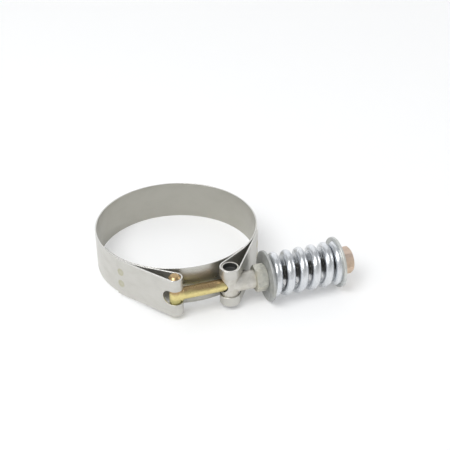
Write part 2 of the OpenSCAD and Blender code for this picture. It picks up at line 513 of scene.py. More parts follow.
@dataclass(frozen=True)
class RolledSteel:
    """Satin rolled strip: streaks along it, faint stains, painted highlights at slit edges, straw marks at
    welds.

    The ring is the stretch that goes round the hose, where its inner face is painted darker as shade.
    Noises are in spots per millimetre along and across the strip. A weld's mark is strongest just inside its
    rim, and its core and rim are shares of the weld's radius.
    """

    name: str
    colour: Colour
    stain: Colour
    welds: tuple["Dent", ...]
    roughness: float = 0.36
    ring: Pair = (0.0, 0.0)
    ring_fade: float = 9.0
    # Colour of the painted shade on the ring's inner face.
    dull_and_shade: Colour = (0.37, 0.36, 0.31)
    straw: Colour = (0.42, 0.4, 0.22)
    # Colour of the painted highlight along the strip's edges, and its width.
    edge_highlight: Colour = (0.78, 0.77, 0.75)
    highlight_w: float = 0.3
    half_w: float = LAYOUT.band_w / 2
    streaks: Noise = Noise((0.035, 5.5, 0.0), detail=4.0)
    hairlines: Noise = Noise((0.16, 26.0, 0.0), detail=2.0, offset=7.0)
    clouds: Noise = Noise((0.11, 0.16, 0.0), offset=3.0)
    flecks: Noise = Noise((2.2, 2.6, 0.0), detail=2.0, offset=11.0)
    wobbles: Noise = Noise((1.1, 1.1, 0.0))
    wobble: float = 0.5
    fleck_ramp: Ramp = Ramp(0.66, 0.78)
    face_ramp: Ramp = Ramp(0.1, 0.3)
    cloud_stain: Ramp = Ramp(0.38, 0.72, 0.5)
    streak_stain: Ramp = Ramp(0.02, 0.2, 0.35)
    dull_and_shade_share: float = 0.65
    edge_highlight_share: float = 0.5
    straw_share: float = 0.55
    mark_core: float = 0.85
    mark_fade: float = 0.35
    mark_middle: float = 0.3
    mark_rim: float = 0.8
    mark_level: float = 0.7
    mark_rise: float = 0.3
    mark_flecks: float = 0.3
    streak_rough: float = 0.16
    cloud_rough: float = 0.14
    fleck_rough: float = 0.05
    slit_gloss: float = 0.08
    mark_rough: float = 0.08
    relief: float = 0.006
    streak_relief: float = 0.6
    brushed: float = 0.35
    metallic: float = 0.88

    def material(self) -> Material:
        """Builds the material on the strip's own distances along, across and through.

        Returns:
            The material.
        """
        graph = Graph(self.name)
        lay = graph.lay()
        along, across, offset = graph.parts(lay)
        streak, hairline = graph.noise(lay, self.streaks), graph.noise(lay, self.hairlines)
        cloud, fleck = graph.noise(lay, self.clouds), graph.noise(lay, self.flecks).climb(self.fleck_ramp)
        edge = across.magnitude().eased(self.half_w - self.highlight_w, self.half_w)
        first, last = self.ring
        # Painted shade on the ring's inner face: its mask, faded in at both ends of the ring.
        inside = offset.climb(self.face_ramp) * along.eased(first, first + self.ring_fade)
        inside = inside * (1.0 - along.eased(last - self.ring_fade, last))
        colour = graph.mix(cloud.climb(self.cloud_stain), self.colour, self.stain)
        colour = graph.mix((streak - 0.5).magnitude().climb(self.streak_stain), colour, self.stain)
        colour = graph.mix(inside * self.dull_and_shade_share, colour, self.dull_and_shade)
        # Painted highlight: a paler colour along the edges.
        colour = graph.mix(edge * self.edge_highlight_share, colour, self.edge_highlight)
        rough = self.roughness + self.streak_rough * (streak - 0.5) + self.cloud_rough * (cloud - 0.5)
        rough = rough + self.fleck_rough * fleck - self.slit_gloss * edge
        for weld in self.welds:
            reach = (along - weld.along).reach(across - weld.across)
            uneven = graph.noise(lay, replace(self.wobbles, offset=weld.along))
            reach = reach + self.wobble * (uneven - 0.5)
            mark = 1.0 - reach.eased(weld.radius * self.mark_core, weld.radius + self.mark_fade)
            rise = reach.eased(self.mark_middle, weld.radius * self.mark_rim)
            mark = mark * (self.mark_level + self.mark_rise * rise + self.mark_flecks * fleck)
            colour = graph.mix(mark * self.straw_share, colour, self.straw)
            rough = rough + self.mark_rough * mark
        normal = graph.bump(streak.blend(hairline, self.streak_relief), self.relief)
        return graph.metal(colour, rough, normal, Anisotropic=self.brushed, Metallic=self.metallic)


@dataclass(frozen=True)
class DullZinc:
    """Dull plating: soft mottling, patches of another tint, a fine grain, and painted shade in a hole.

    Noises are in spots per metre. The hole is the x, the y and the radius of a round about a line along Z.
    """

    name: str
    colour: Colour
    shade: Colour
    tint: Colour
    roughness: float
    hole: Corner | None = None
    hole_fade: float = 0.2
    # Near black of the painted shade in the hole.
    hole_shade: Colour = (0.1, 0.1, 0.095)
    clouds: Noise = Noise((420.0,) * 3, detail=4.0)
    patches: Noise = Noise((150.0,) * 3, detail=2.0, offset=5.0)
    grains: Noise = Noise((5200.0,) * 3, detail=2.0, offset=9.0)
    cloud_shade: Ramp = Ramp(0.36, 0.7)
    patch_tint: Ramp = Ramp(0.46, 0.68, 0.6)
    cloud_rough: float = 0.22
    grain_rough: float = 0.1
    relief: float = 0.01
    grain_relief: float = 0.6
    metallic: float = 0.8

    def material(self) -> Material:
        """Builds the material on the place on the piece.

        Returns:
            The material.
        """
        graph = Graph(self.name)
        place = graph.place()
        noises = (self.clouds, self.patches, self.grains)
        cloud, patch, grain = (graph.noise(place, noise) for noise in noises)
        colour = graph.mix(cloud.climb(self.cloud_shade), self.colour, self.shade)
        colour = graph.mix(patch.climb(self.patch_tint), colour, self.tint)
        rough = self.roughness + self.cloud_rough * (cloud - 0.5) + self.grain_rough * (grain - 0.5)
        # Painted shade: the hole's round is darkened to near black.
        if self.hole:
            x, y, _ = graph.parts(place)
            centre_x, centre_y, radius = (size * MM for size in self.hole)
            reach = (x - centre_x).reach(y - centre_y)
            colour = graph.mix(reach.eased(radius, radius + self.hole_fade * MM), self.hole_shade, colour)
        normal = graph.bump(grain.blend(cloud, self.grain_relief), self.relief)
        return graph.metal(colour, rough, normal, Metallic=self.metallic)


@dataclass(frozen=True)
class Chromate:
    """Coloured chromate on zinc, with painted shade in darker hues above and below the bolt's axis.

    Past a place along the bolt it turns dark grey, painted shade on the thread. Noises are in spots per
    metre.
    """

    name: str
    colour: Colour
    # Colours of the painted shade over the top and the underside of the axis.
    top_shade: Colour
    below: Colour
    roughness: float = 0.3
    spread: float = 2.6
    thread_x: float | None = None
    thread_fade: float = 2.0
    # Dark grey of the painted shade on the thread.
    thread_shade: Colour = (0.3, 0.3, 0.29)
    stain: Colour = (0.3, 0.24, 0.13)
    drifts: Noise = Noise((110.0, 300.0, 300.0), detail=2.0)
    clouds: Noise = Noise((520.0,) * 3, detail=4.0, offset=4.0)
    tool_lines: Noise = Noise((3200.0, 260.0, 260.0), detail=2.0, offset=8.0)
    uneven: float = 1.5
    top_shade_ramp: Ramp = Ramp(0.3, 0.95)
    underside_shade_ramp: Ramp = Ramp(0.15, 0.95, 0.85)
    cloud_stain: Ramp = Ramp(0.5, 0.78, 0.35)
    cloud_rough: float = 0.2
    line_rough: float = 0.12
    relief: float = 0.006
    line_relief: float = 0.7

    def material(self) -> Material:
        """Builds the material on the place on the piece, with painted shade set by height and uneven.

        Returns:
            The material.
        """
        graph = Graph(self.name)
        place = graph.place()
        along, _, height = graph.parts(place)
        noises = (self.drifts, self.clouds, self.tool_lines)
        drift, cloud, lines = (graph.noise(place, noise) for noise in noises)
        # Painted shade: darker over the top and the underside, by height, with an uneven edge.
        level = height * (1.0 / (self.spread * MM)) + self.uneven * (drift - 0.5)
        colour = graph.mix(level.climb(self.top_shade_ramp), self.colour, self.top_shade)
        colour = graph.mix((level * -1.0).climb(self.underside_shade_ramp), colour, self.below)
        colour = graph.mix(cloud.climb(self.cloud_stain), colour, self.stain)
        # Painted shade: the thread inside the spring goes dark grey.
        if self.thread_x is not None:
            first, last = self.thread_x - self.thread_fade, self.thread_x + self.thread_fade
            colour = graph.mix(along.eased(first * MM, last * MM), colour, self.thread_shade)
        rough = self.roughness + self.cloud_rough * (cloud - 0.5) + self.line_rough * (lines - 0.5)
        return graph.metal(colour, rough, graph.bump(lines.blend(cloud, self.line_relief), self.relief))


@dataclass(frozen=True)
class BrightZinc:
    """Bright plated spring wire: faint draw lines along the wire, a blue cast and a few dull specks.

    Noises are in spots per millimetre along the wire and over its section.
    """

    name: str
    colour: Colour
    cast: Colour
    roughness: float = 0.27
    dull_and_shade: Colour = (0.42, 0.42, 0.42)
    draw_lines: Noise = Noise((0.03, 3.4, 3.4))
    clouds: Noise = Noise((0.12, 0.35, 0.35), offset=4.0)
    specks: Noise = Noise((1.6, 1.9, 1.9), detail=2.0, offset=9.0)
    speck_ramp: Ramp = Ramp(0.64, 0.76)
    cloud_cast: Ramp = Ramp(0.36, 0.68, 0.7)
    dull_and_shade_share: float = 0.35
    line_rough: float = 0.1
    cloud_rough: float = 0.12
    speck_rough: float = 0.14
    relief: float = 0.008
    line_relief: float = 0.7

    def material(self) -> Material:
        """Builds the material on the distances along and round the wire.

        Returns:
            The material.
        """
        graph = Graph(self.name)
        lay = graph.lay()
        lines, cloud = graph.noise(lay, self.draw_lines), graph.noise(lay, self.clouds)
        speck = graph.noise(lay, self.specks).climb(self.speck_ramp)
        colour = graph.mix(cloud.climb(self.cloud_cast), self.colour, self.cast)
        colour = graph.mix(speck * self.dull_and_shade_share, colour, self.dull_and_shade)
        rough = self.roughness + self.line_rough * (lines - 0.5) + self.cloud_rough * (cloud - 0.5)
        rough = rough + self.speck_rough * speck
        return graph.metal(colour, rough, graph.bump(lines.blend(cloud, self.line_relief), self.relief))


def dress(piece: Piece, material: Material, body: Body, slot: str, *nodes: str) -> None:
    """Gives a piece its material and body, hides the CAD nodes that it stands for, and reports it.

    Args:
        piece: The piece.
        material: Its finish.
        body: Body that it moves with.
        slot: The record's material slot. Not used.
        *nodes: CAD nodes that it replaces.
    """
    piece.data.materials.clear()
    piece.data.materials.append(material)
    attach(piece, body.value)
    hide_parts(*nodes)
    LOG.info("%s: %d faces on %s", piece.name, len(piece.data.polygons), body.value)


# Strips


@dataclass(frozen=True)
class Bend:
    """Round stretch of a strip's middle line; side is 1 where its face looks away from the centre."""

    centre: Floats
    radius: float
    start: float
    end: float
    side: float

    @property
    def length(self) -> float:
        """Distance along the stretch."""
        return self.radius * abs(self.end - self.start)

    def at(self, distance: Floats) -> tuple[Floats, Floats]:
        """Gives places and face normals: the centre plus the radius at an angle that runs evenly."""
        way = heading(self.start + (self.end - self.start) * distance / self.length)
        return self.centre + self.radius * way, self.side * way


@dataclass(frozen=True)
class Run:
    """Straight stretch of a strip's middle line."""

    start: Floats
    end: Floats
    normal: Floats

    @property
    def length(self) -> float:
        """Distance along the stretch."""
        return float(np.linalg.norm(self.end - self.start))

    def at(self, distance: Floats) -> tuple[Floats, Floats]:
        """Gives places and face normals: the start plus a share of the way to the end."""
        places = self.start + (distance / self.length)[..., None] * (self.end - self.start)
        return places, np.broadcast_to(self.normal, places.shape)


@dataclass(frozen=True)
class MiddleLine:
    """Stretches that follow each other and turn smoothly from one to the next."""

    stretches: tuple[Bend | Run, ...]

    def starts(self) -> Floats:
        """Gives the distance at which each stretch starts, and the whole length last."""
        return np.cumsum([0.0] + [stretch.length for stretch in self.stretches])

    def at(self, distance: Floats) -> tuple[Floats, Floats]:
        """Gives places and face normals at distances along the whole line.

        Args:
            distance: Distances of any shape.

        Returns:
            Places and normals in the ring's plane.
        """
        starts = self.starts()
        index = np.clip(np.searchsorted(starts, distance, side="right") - 1, 0, len(self.stretches) - 1)
        places, normals = np.zeros((2, *distance.shape, 2))
        for number, stretch in enumerate(self.stretches):
            here = index == number
            places[here], normals[here] = stretch.at(distance[here] - starts[number])
        return places, normals


@dataclass(frozen=True)
class Slot:
    """Long hole with round ends along the middle of a strip."""

    start: float
    end: float
    half: float
    step: float = 0.32
    bend_points: int = 13

    def outline(self, grow: float) -> tuple[Floats, Floats]:
        """Draws half of the slot's edge: a quarter circle, a straight side and a quarter circle.

        Args:
            grow: Distance by which the edge is moved out.

        Returns:
            Distances along the strip and heights over its middle.
        """
        angle, reach = quarter(self.bend_points), self.half + grow
        first, last = self.start + self.half, self.end - self.half
        side = np.linspace(first, last, max(2, round((last - first) / self.step)) + 1)[1:-1]
        ahead, rise = reach * np.cos(angle), reach * np.sin(angle)
        along = np.concatenate([first - ahead, side, last + ahead[::-1]])
        return along, np.concatenate([rise, np.full(len(side), reach), rise[::-1]])


@dataclass(frozen=True)
class Dent:
    """Mark of a spot weld: a shallow dish with a low rim, given in shares of its radius and depth."""

    along: float
    across: float
    radius: float
    depth: float
    dish_flat: float = 0.66
    dish_wall: float = 0.36
    rim_at: float = 1.08
    rim_w: float = 0.1
    rim_high: float = 0.22

    def sink(self, along: Floats, across: Floats) -> Floats:
        """Gives how deep points lie: an eased step down to the dish, less a bell-shaped rim.

        Args:
            along: Distances along the strip.
            across: Heights over its middle.

        Returns:
            Depths below the face.
        """
        reach = np.hypot(along - self.along, across - self.across) / self.radius
        dish = self.depth * (1.0 - smooth((reach - self.dish_flat) / self.dish_wall))
        rim = self.rim_high * self.depth * np.exp(-(((reach - self.rim_at) / self.rim_w) ** 2))
        return dish - rim


@dataclass
class Strip:
    """Flat strip carried along a middle line, with rounded edges and ends, slots and weld marks.

    It is worked out over its upper half, and its lower half is the mirror image.
    """

    line: MiddleLine
    thickness: float
    edge_r: float
    along: Floats
    across: Floats
    dents: tuple[Dent, ...]
    slots: tuple[Slot, ...] = ()
    width: float = LAYOUT.band_w
    slot_margin: float = 0.02
    end_points: int = 4
    edge_points: int = 5

    def columns(self) -> tuple[Floats, Floats, Floats]:
        """Gives the stations along the strip.

        Returns:
            Distance, half height of the slot there, and how far the section is drawn in at a rounded end.
        """
        length = self.line.starts()[-1]
        free = self.along[(self.along > self.edge_r) & (self.along < length - self.edge_r)]
        edges = [slot.outline(self.edge_r) for slot in self.slots]
        for along, _ in edges:
            free = free[(free < along[0] - self.slot_margin) | (free > along[-1] + self.slot_margin)]
        angle = quarter(self.end_points)
        tip, drawn = self.edge_r * (1.0 - np.cos(angle)), self.edge_r * (1.0 - np.sin(angle))
        distance = np.concatenate([free, *[along for along, _ in edges], tip, length - tip])
        height = np.concatenate([np.zeros(len(free)), *[high for _, high in edges], np.zeros(2 * len(tip))])
        inset = np.concatenate([np.zeros(len(distance) - 2 * len(tip)), drawn, drawn])
        order = np.argsort(distance, kind="stable")
        return distance[order], height[order], inset[order]

    def lift(self, distance: Floats, offset: Floats, height: Floats) -> Patch:
        """Puts section points in space: the middle line plus the offset along its normal, with height on Z.

        Args:
            distance: Distances along the strip.
            offset: Distances from the middle of the strip's thickness.
            height: Heights over the middle of its width.

        Returns:
            The surface.
        """
        places, normals = self.line.at(distance)
        flat = places + normals * offset[..., None]
        points = np.concatenate([flat, height[..., None]], axis=-1)
        return Patch(points, np.stack([distance, height, offset], axis=-1))

    def half(self) -> list[Patch]:
        """Builds the upper half: its face, rounded edge and back, its ends and its slots' walls.

        Returns:
            The surfaces.
        """
        distance, slot_height, inset = self.columns()
        half_t, half_w, round_r = self.thickness / 2 - inset, self.width / 2 - inset, self.edge_r - inset
        share, angle = (self.across / self.across[-1])[:, None], quarter(self.edge_points)[1:, None]
        face = slot_height + share * (half_w - round_r - slot_height)
        corner = half_w - round_r * (1.0 - np.sin(angle))
        drop = half_t - round_r * (1.0 - np.cos(angle))
        height = np.concatenate([face, corner, corner[::-1], face[::-1]])
        level = np.broadcast_to(half_t, face.shape)
        offset = np.concatenate([level, drop, -drop[::-1], -level])
        station = np.broadcast_to(distance, height.shape)
        for dent in self.dents:
            offset = offset - np.where(offset > half_t - TINY, dent.sink(station, height), 0.0)
        skin = self.lift(station, offset, height)
        rows = len(self.across)
        face_rows, back_rows = skin.points[:rows], skin.points[-rows:][::-1]
        caps = [Patch(np.stack([face_rows[:, end], back_rows[:, end]])) for end in (0, -1)]
        return [skin, *caps, *[self.wall(slot) for slot in self.slots]]

    def wall(self, slot: Slot) -> Patch:
        """Builds the wall of half a slot, rounded where it meets the face and the back.

        Args:
            slot: The slot.

        Returns:
            The surface, from the face to the back.
        """
        (edge, edge_height), (wall, wall_height) = slot.outline(self.edge_r), slot.outline(0.0)
        angle = quarter(self.edge_points)[:, None]
        blend = np.concatenate([1.0 - np.sin(angle), (1.0 - np.sin(angle))[::-1]])
        drop = self.thickness / 2 - self.edge_r * (1.0 - np.cos(angle))
        offset = np.concatenate([drop, -drop[::-1]])
        distance = wall + (edge - wall) * blend
        height = wall_height + (edge_height - wall_height) * blend
        return self.lift(distance, np.broadcast_to(offset, distance.shape), height)

    def build(self, name: str) -> Piece:
        """Joins the upper half and its mirror image into one piece."""
        upper = self.half()
        return shell(name, upper + [patch.flipped() for patch in upper])


@dataclass
class Band:
    """The clamp's band: one strip round the hose, folded into a loop at each end and spot-welded to itself.

    Stations are counted on each stretch, without the loops, where the slots bring their own. Rows over half
    the width lie closest together at the welds.
    """

    edge_r: float = 0.2
    head_slot_half: float = 3.5
    head_slot_run: float = 4.2
    tube_slot_half: float = 4.85
    tube_slot_run: float = 9.2
    slot_over: float = 3.0
    weld_r: float = 1.75
    weld_half_pitch: float = 3.1
    weld_dent: float = 0.1
    stations: tuple[int, ...] = (34, 16, 0, 14, 150, 14, 0, 18, 34)
    row_places: tuple[float, ...] = (0.0, 1.2, 5.2, 9.3)
    row_steps: tuple[int, ...] = (3, 25, 6)
    strip: Strip = field(init=False)
    ring: Pair = field(init=False)

    def __post_init__(self) -> None:
        """Lays out the middle line, then the slots, welds and stations that depend on its distances."""
        line = self.middle_line()
        starts = line.starts()
        _, tab_end, loop, loop_end, ring, ring_end, head_loop, head_loop_end, head_tab, length = starts
        slots = (
            Slot(loop - self.tube_slot_run, loop_end + self.slot_over, self.tube_slot_half),
            Slot(head_loop - self.slot_over, head_loop_end + self.head_slot_run, self.head_slot_half),
        )
        dents = tuple(
            Dent(middle, side * self.weld_half_pitch, self.weld_r, self.weld_dent)
            for middle in (tab_end / 2, (head_tab + length) / 2)
            for side in (-1, 1)
        )
        spans = zip(starts, starts[1:], self.stations)
        along = np.unique(np.concatenate([np.linspace(*span) for span in spans]))
        across = ladder(self.row_places, self.row_steps)
        self.strip = Strip(line, LAYOUT.band_t, self.edge_r, along, across, dents, slots)
        self.ring = (ring, ring_end)

    def fold(self, side: float, loop_r: float) -> list[Bend | Run]:
        """Lays one folded end, from the ring: a tangent, the loop, a tangent back and the tab.

        Args:
            side: 1 for the trunnion's end and -1 for the T-head's.
            loop_r: Radius inside the loop.

        Returns:
            The stretches.
        """
        half, pin = LAYOUT.band_t / 2, np.array([side * LAYOUT.pin_x, LAYOUT.bolt_y])
        out, back = side * LAYOUT.leave_angle(loop_r), side * LAYOUT.touch_angle(LAYOUT.tab_in_r - loop_r)
        ring_r, tab_r, bend_r = LAYOUT.band_r + half, LAYOUT.tab_in_r + half, loop_r + half
        return [
            Run(ring_r * heading(out), pin - bend_r * heading(out), -heading(out)),
            Bend(pin, bend_r, out - side * math.pi, back, 1.0),
            Run(pin + bend_r * heading(back), tab_r * heading(back), heading(back)),
            Bend(np.zeros(2), tab_r, back, back + side * LAYOUT.tab_lap / LAYOUT.tab_in_r, 1.0),
        ]

    def middle_line(self) -> MiddleLine:
        """Joins the trunnion's end, the ring and the T-head's end.

        Returns:
            The line from the trunnion's tab, round its loop and the hose, to the T-head's tab.
        """
        right, left = self.fold(1.0, LAYOUT.trunnion_loop_r), self.fold(-1.0, LAYOUT.head_loop_r)
        towards_ring = [replace(part, start=part.end, end=part.start) for part in right[::-1]]
        first = LAYOUT.leave_angle(LAYOUT.trunnion_loop_r)
        last = 2 * math.pi - LAYOUT.leave_angle(LAYOUT.head_loop_r)
        ring = Bend(np.zeros(2), LAYOUT.band_r + LAYOUT.band_t / 2, first, last, -1.0)
        return MiddleLine((*towards_ring, ring, *left))

    def build(self) -> None:
        """Makes the band and dresses it in rolled stainless steel."""
        finish = RolledSteel(
            "stainless_band",
            colour=(0.605, 0.595, 0.56),
            stain=(0.51, 0.5, 0.46),
            welds=self.strip.dents,
            ring=self.ring,
        )
        dress(self.strip.build("band_strip"), finish.material(), Body.CLAMP, "stainless_band", "band")


@dataclass
class Liner:
    """Thin strip inside the band that bridges the gap under the bolt, welded to the band at one end.

    Stations and rows lie closest together at the welds.
    """

    thickness: float = 0.38
    gap: float = 0.015
    fixed_deg: float = -76.0
    free_deg: float = 38.0
    edge_r: float = 0.12
    weld_r: float = 1.5
    weld_half_pitch: float = 3.4
    weld_in: float = 4.0
    weld_dent: float = 0.06
    station_steps: tuple[int, ...] = (43, 59)
    row_places: tuple[float, ...] = (0.0, 1.5, 5.4, 9.4)
    row_steps: tuple[int, ...] = (3, 21, 5)

    def build(self) -> None:
        """Makes the liner as an arc just inside the band and dresses it."""
        middle_r = LAYOUT.band_r - self.gap - self.thickness / 2
        arc = Bend(np.zeros(2), middle_r, math.radians(self.fixed_deg), math.radians(self.free_deg), -1.0)
        heights = (-self.weld_half_pitch, self.weld_half_pitch)
        dents = tuple(Dent(self.weld_in, height, self.weld_r, self.weld_dent) for height in heights)
        along = ladder((0.0, 2 * self.weld_in, arc.length), self.station_steps)
        across = ladder(self.row_places, self.row_steps)
        strip = Strip(MiddleLine((arc,)), self.thickness, self.edge_r, along, across, dents)
        finish = RolledSteel(
            "stainless_liner",
            colour=(0.55, 0.54, 0.5),
            stain=(0.46, 0.45, 0.41),
            welds=dents,
            roughness=0.3,
        )
        dress(strip.build("liner_strip"), finish.material(), Body.CLAMP, "stainless_liner", "liner")


# Pieces on the bolt


@dataclass
class TBolt:
    """The T-bolt: a cross bar held in a loop, a plain shank that swells into it, and a rolled thread.

    The thread's depth and flats are shares of its pitch.
    """

    bar_r: float = 2.75
    bar_half: float = 10.3
    bar_chamfer: float = 0.95
    bar_end_soft: float = 0.25
    bar_side_soft: float = 0.3
    bar_sides: int = 64
    shank_r: float = 2.85
    fillet: float = 1.5
    waist: float = 0.42
    waist_reach: float = 4.5
    head_reach: float = 6.0
    thread_x: float = 27.3
    thread_r: float = 3.175
    pitch: float = 25.4 / 28
    thread_depth: float = 0.6134
    root_flat: float = 0.25
    flank: float = 0.625
    run_out: float = 2.0
    end_chamfer: float = 0.6
    end_slope: float = 1.1
    sides: int = 48
    plain_steps: tuple[int, int] = (31, 23)
    steps_per_pitch: int = 12
    sharp_deg: float = 50.0

    def bar(self) -> Piece:
        """Makes the cross bar: a profile with chamfered, softened ends turned about the T-head's axis.

        Returns:
            The bar.
        """
        side, low = self.bar_half - self.bar_chamfer, self.bar_r - self.bar_chamfer
        end = [
            (self.bar_half, 0.0, 0.0),
            (self.bar_half, low, self.bar_end_soft),
            (side, self.bar_r, self.bar_side_soft),
        ]
        centre = (-LAYOUT.pin_x, LAYOUT.bolt_y)
        return lathe("t_bolt_bar", mirrored(end), Axis.RING, centre, self.bar_sides)

    def thread(self, along: Floats, angle: Floats) -> Floats:
        """Gives the thread's radius: a flat-topped V that moves on by one pitch in each turn.

        Args:
            along: Places along the bolt.
            angle: Angles round it.

        Returns:
            Radii.
        """
        turns = (along - self.thread_x) / self.pitch
        phase = np.mod(turns - angle / (2 * math.pi), 1.0)
        rise = np.clip((np.abs(2.0 * phase - 1.0) - self.root_flat) / self.flank, 0.0, 1.0)
        cut = self.thread_r - self.thread_depth * self.pitch * (1.0 - rise)
        tip = self.thread_r - self.end_chamfer + self.end_slope * (LAYOUT.bolt_end_x - along)
        return np.minimum(self.shank_r + (cut - self.shank_r) * smooth(turns / self.run_out), tip)

    def shank(self) -> Piece:
        """Makes the shank and thread: circles along the bolt that grow tall and narrow towards the bar.

        Returns:
            The shank.
        """
        start, end = -LAYOUT.pin_x, LAYOUT.bolt_end_x
        count = round((end - self.thread_x) / self.pitch * self.steps_per_pitch)
        places = (start, start + self.head_reach, self.thread_x, end)
        along = ladder(places, (*self.plain_steps, count - 1))[:, None]
        angle = circle(self.sides)
        radius = np.where(along <= self.thread_x, self.shank_r, self.thread(along, angle))
        past_bar = np.clip((along - start - self.bar_r) / self.fillet, 0.0, 1.0)
        flare = self.fillet * (1.0 - np.sqrt(1.0 - (1.0 - past_bar) ** 2))
        waist = self.waist * (1.0 - smooth((along - start) / self.waist_reach))
        across = LAYOUT.bolt_y + (radius - waist) * np.cos(angle)
        height = (radius + flare) * np.sin(angle)
        points = np.stack([np.broadcast_to(along, radius.shape), across, height], axis=-1)
        return shell("t_bolt_yellow", [Patch(with_poles(points), close_columns=True)], self.sharp_deg)

    def build(self) -> None:
        """Joins the bar and the shank and dresses them in yellow chromate."""
        bolt = self.shank()
        combine(bolt, [(Join.ADD, self.bar())], self.sharp_deg)
        finish = Chromate(
            "yellow_zinc",
            colour=(0.75, 0.64, 0.29),
            # Painted shade: brown over the top of the bolt and olive under it.
            top_shade=(0.44, 0.31, 0.16),
            below=(0.42, 0.39, 0.16),
            thread_x=self.thread_x,
        )
        dress(bolt, finish.material(), Body.CLAMP, "yellow_zinc", "t_bolt")


@dataclass
class Trunnion:
    """The trunnion: a cross pin with a blind hole in each end, and a tube that the bolt passes through."""

    pin_r: float = 3.95
    pin_half: float = 9.1
    pin_soft: float = 0.28
    hole_r: float = 3.2
    hole_depth: float = 2.4
    hole_cone: float = 0.5
    hole_soft: float = 0.3
    rim_soft: float = 0.2
    tube_r: float = 4.2
    tube_soft: float = 0.3
    root_r: float = 3.8
    root_reach: float = 1.6
    root_soft: float = 0.8
    mouth: float = 0.35
    drill_back: float = 8.0
    sides: int = 96
    bore_sides: int = 80

    def build(self) -> None:
        """Turns the pin and the tube, joins them, bores them and dresses them in satin zinc."""
        floor, rim = self.pin_half - self.hole_depth, self.pin_half
        pin_end = [
            (floor - self.hole_cone, 0.0, 0.0), (floor, self.hole_r, self.hole_soft),
            (rim, self.hole_r, self.rim_soft), (rim, self.pin_r, self.pin_soft),
        ]
        start, end = LAYOUT.pin_x, LAYOUT.tube_end_x
        tube = [
            (start, 0.0, 0.0), (start, self.root_r, 0.0),
            (start + self.root_reach, self.tube_r, self.root_soft),
            (end, self.tube_r, self.tube_soft), (end, 0.0, 0.0),
        ]
        back, front, bore_r = start - self.drill_back, end + self.mouth, LAYOUT.bore_r
        drill = [
            (back, 0.0, 0.0), (back, bore_r, 0.0), (end - self.mouth, bore_r, 0.0),
            (front, bore_r + 2 * self.mouth, 0.0), (front, 0.0, 0.0),
        ]
        centre = (LAYOUT.pin_x, LAYOUT.bolt_y)
        trunnion = lathe("trunnion_body", mirrored(pin_end), Axis.RING, centre, self.sides)
        sleeve = lathe("trunnion_tube", tube, Axis.BOLT, LAYOUT.bolt_line, self.sides)
        bore = lathe("trunnion_bore", drill, Axis.BOLT, LAYOUT.bolt_line, self.bore_sides)
        combine(trunnion, [(Join.ADD, sleeve), (Join.CUT, bore)])
        finish = DullZinc(
            "satin_zinc",
            colour=(0.68, 0.66, 0.61),
            shade=(0.58, 0.56, 0.51),
            tint=(0.64, 0.61, 0.54),
            roughness=0.5,
            # Painted shade in the blind holes at the pin's ends.
            hole=(*centre, self.hole_r),
        )
        dress(trunnion, finish.material(), Body.CLAMP, "satin_zinc", "trunnion")


@dataclass
class HexPiece:
    """Hexagon along the bolt with softened corners, turned chamfers at both ends and a countersunk bore.

    Its end faces are rounds whose radius is face_share of half the distance across its flats.
    """

    name: str
    start: float
    end: float
    bore_r: float
    flats: float = 11.1
    corner_r: float = 0.3
    face_share: float = 0.985
    chamfer_slope: float = 0.577
    countersink: float = 0.35
    corner_points: int = 6
    flat_steps: int = 11
    sharp_deg: float = 24.0

    def outline(self) -> Floats:
        """Draws the hexagon with a corner towards +Y: an arc at each corner and points along each flat.

        Returns:
            Points round the bolt's axis, one row each.
        """
        corner = np.arange(6)[:, None] * math.pi / 3
        swing = corner + np.linspace(-math.pi / 6, math.pi / 6, self.corner_points)
        reach = (self.flats / 2 - self.corner_r) / math.cos(math.pi / 6)
        arc = reach * np.stack([np.cos(corner), np.sin(corner)], -1)
        arc = arc + self.corner_r * np.stack([np.cos(swing), np.sin(swing)], -1)
        share = np.linspace(0.0, 1.0, self.flat_steps + 1)[1:-1, None]
        flat = arc[:, -1:, :] * (1.0 - share) + np.roll(arc, -1, axis=0)[:, :1, :] * share
        return np.concatenate([arc, flat], axis=1).reshape(-1, 2)

    def mesh(self) -> Piece:
        """Makes the piece: rows round the bolt from the bore over one face, the flats and the other face.

        Returns:
            The piece. The chamfer is a cone, so its edge on each flat is an arc.
        """
        outline = self.outline()
        radius = np.linalg.norm(outline, axis=1)
        across, up = (outline / radius[:, None]).T
        face_r = np.minimum(radius, self.flats / 2 * self.face_share)
        fall = (radius - face_r) * self.chamfer_slope
        flat, bore = np.zeros_like(radius), np.full_like(radius, self.bore_r)
        sunk, mouth = flat + self.countersink, bore + self.countersink
        half = [(flat, mouth), (flat, face_r), (fall, radius)]
        rows = [(self.start + along, reach) for along, reach in half]
        rows += [(self.end - along, reach) for along, reach in half[::-1]]
        rows += [(self.end - sunk, bore), (self.start + sunk, bore)]
        points = [np.column_stack([x, LAYOUT.bolt_y + reach * across, reach * up]) for x, reach in rows]
        skin = Patch(np.stack(points), close_rows=True, close_columns=True)
        return shell(self.name, [skin], self.sharp_deg)


@dataclass
class HexCollar(HexPiece):
    """Hexagon collar between the trunnion's tube and the inner washer."""

    name: str = "collar_hex"
    start: float = LAYOUT.tube_end_x
    end: float = LAYOUT.collar_end_x
    bore_r: float = LAYOUT.bore_r

    def build(self) -> None:
        """Makes the collar and dresses it in grey zinc."""
        finish = DullZinc(
            "grey_zinc_collar",
            colour=(0.68, 0.67, 0.6),
            shade=(0.5, 0.5, 0.45),
            tint=(0.63, 0.6, 0.5),
            roughness=0.48,
        )
        dress(self.mesh(), finish.material(), Body.CLAMP, "grey_zinc", "hex_collar")


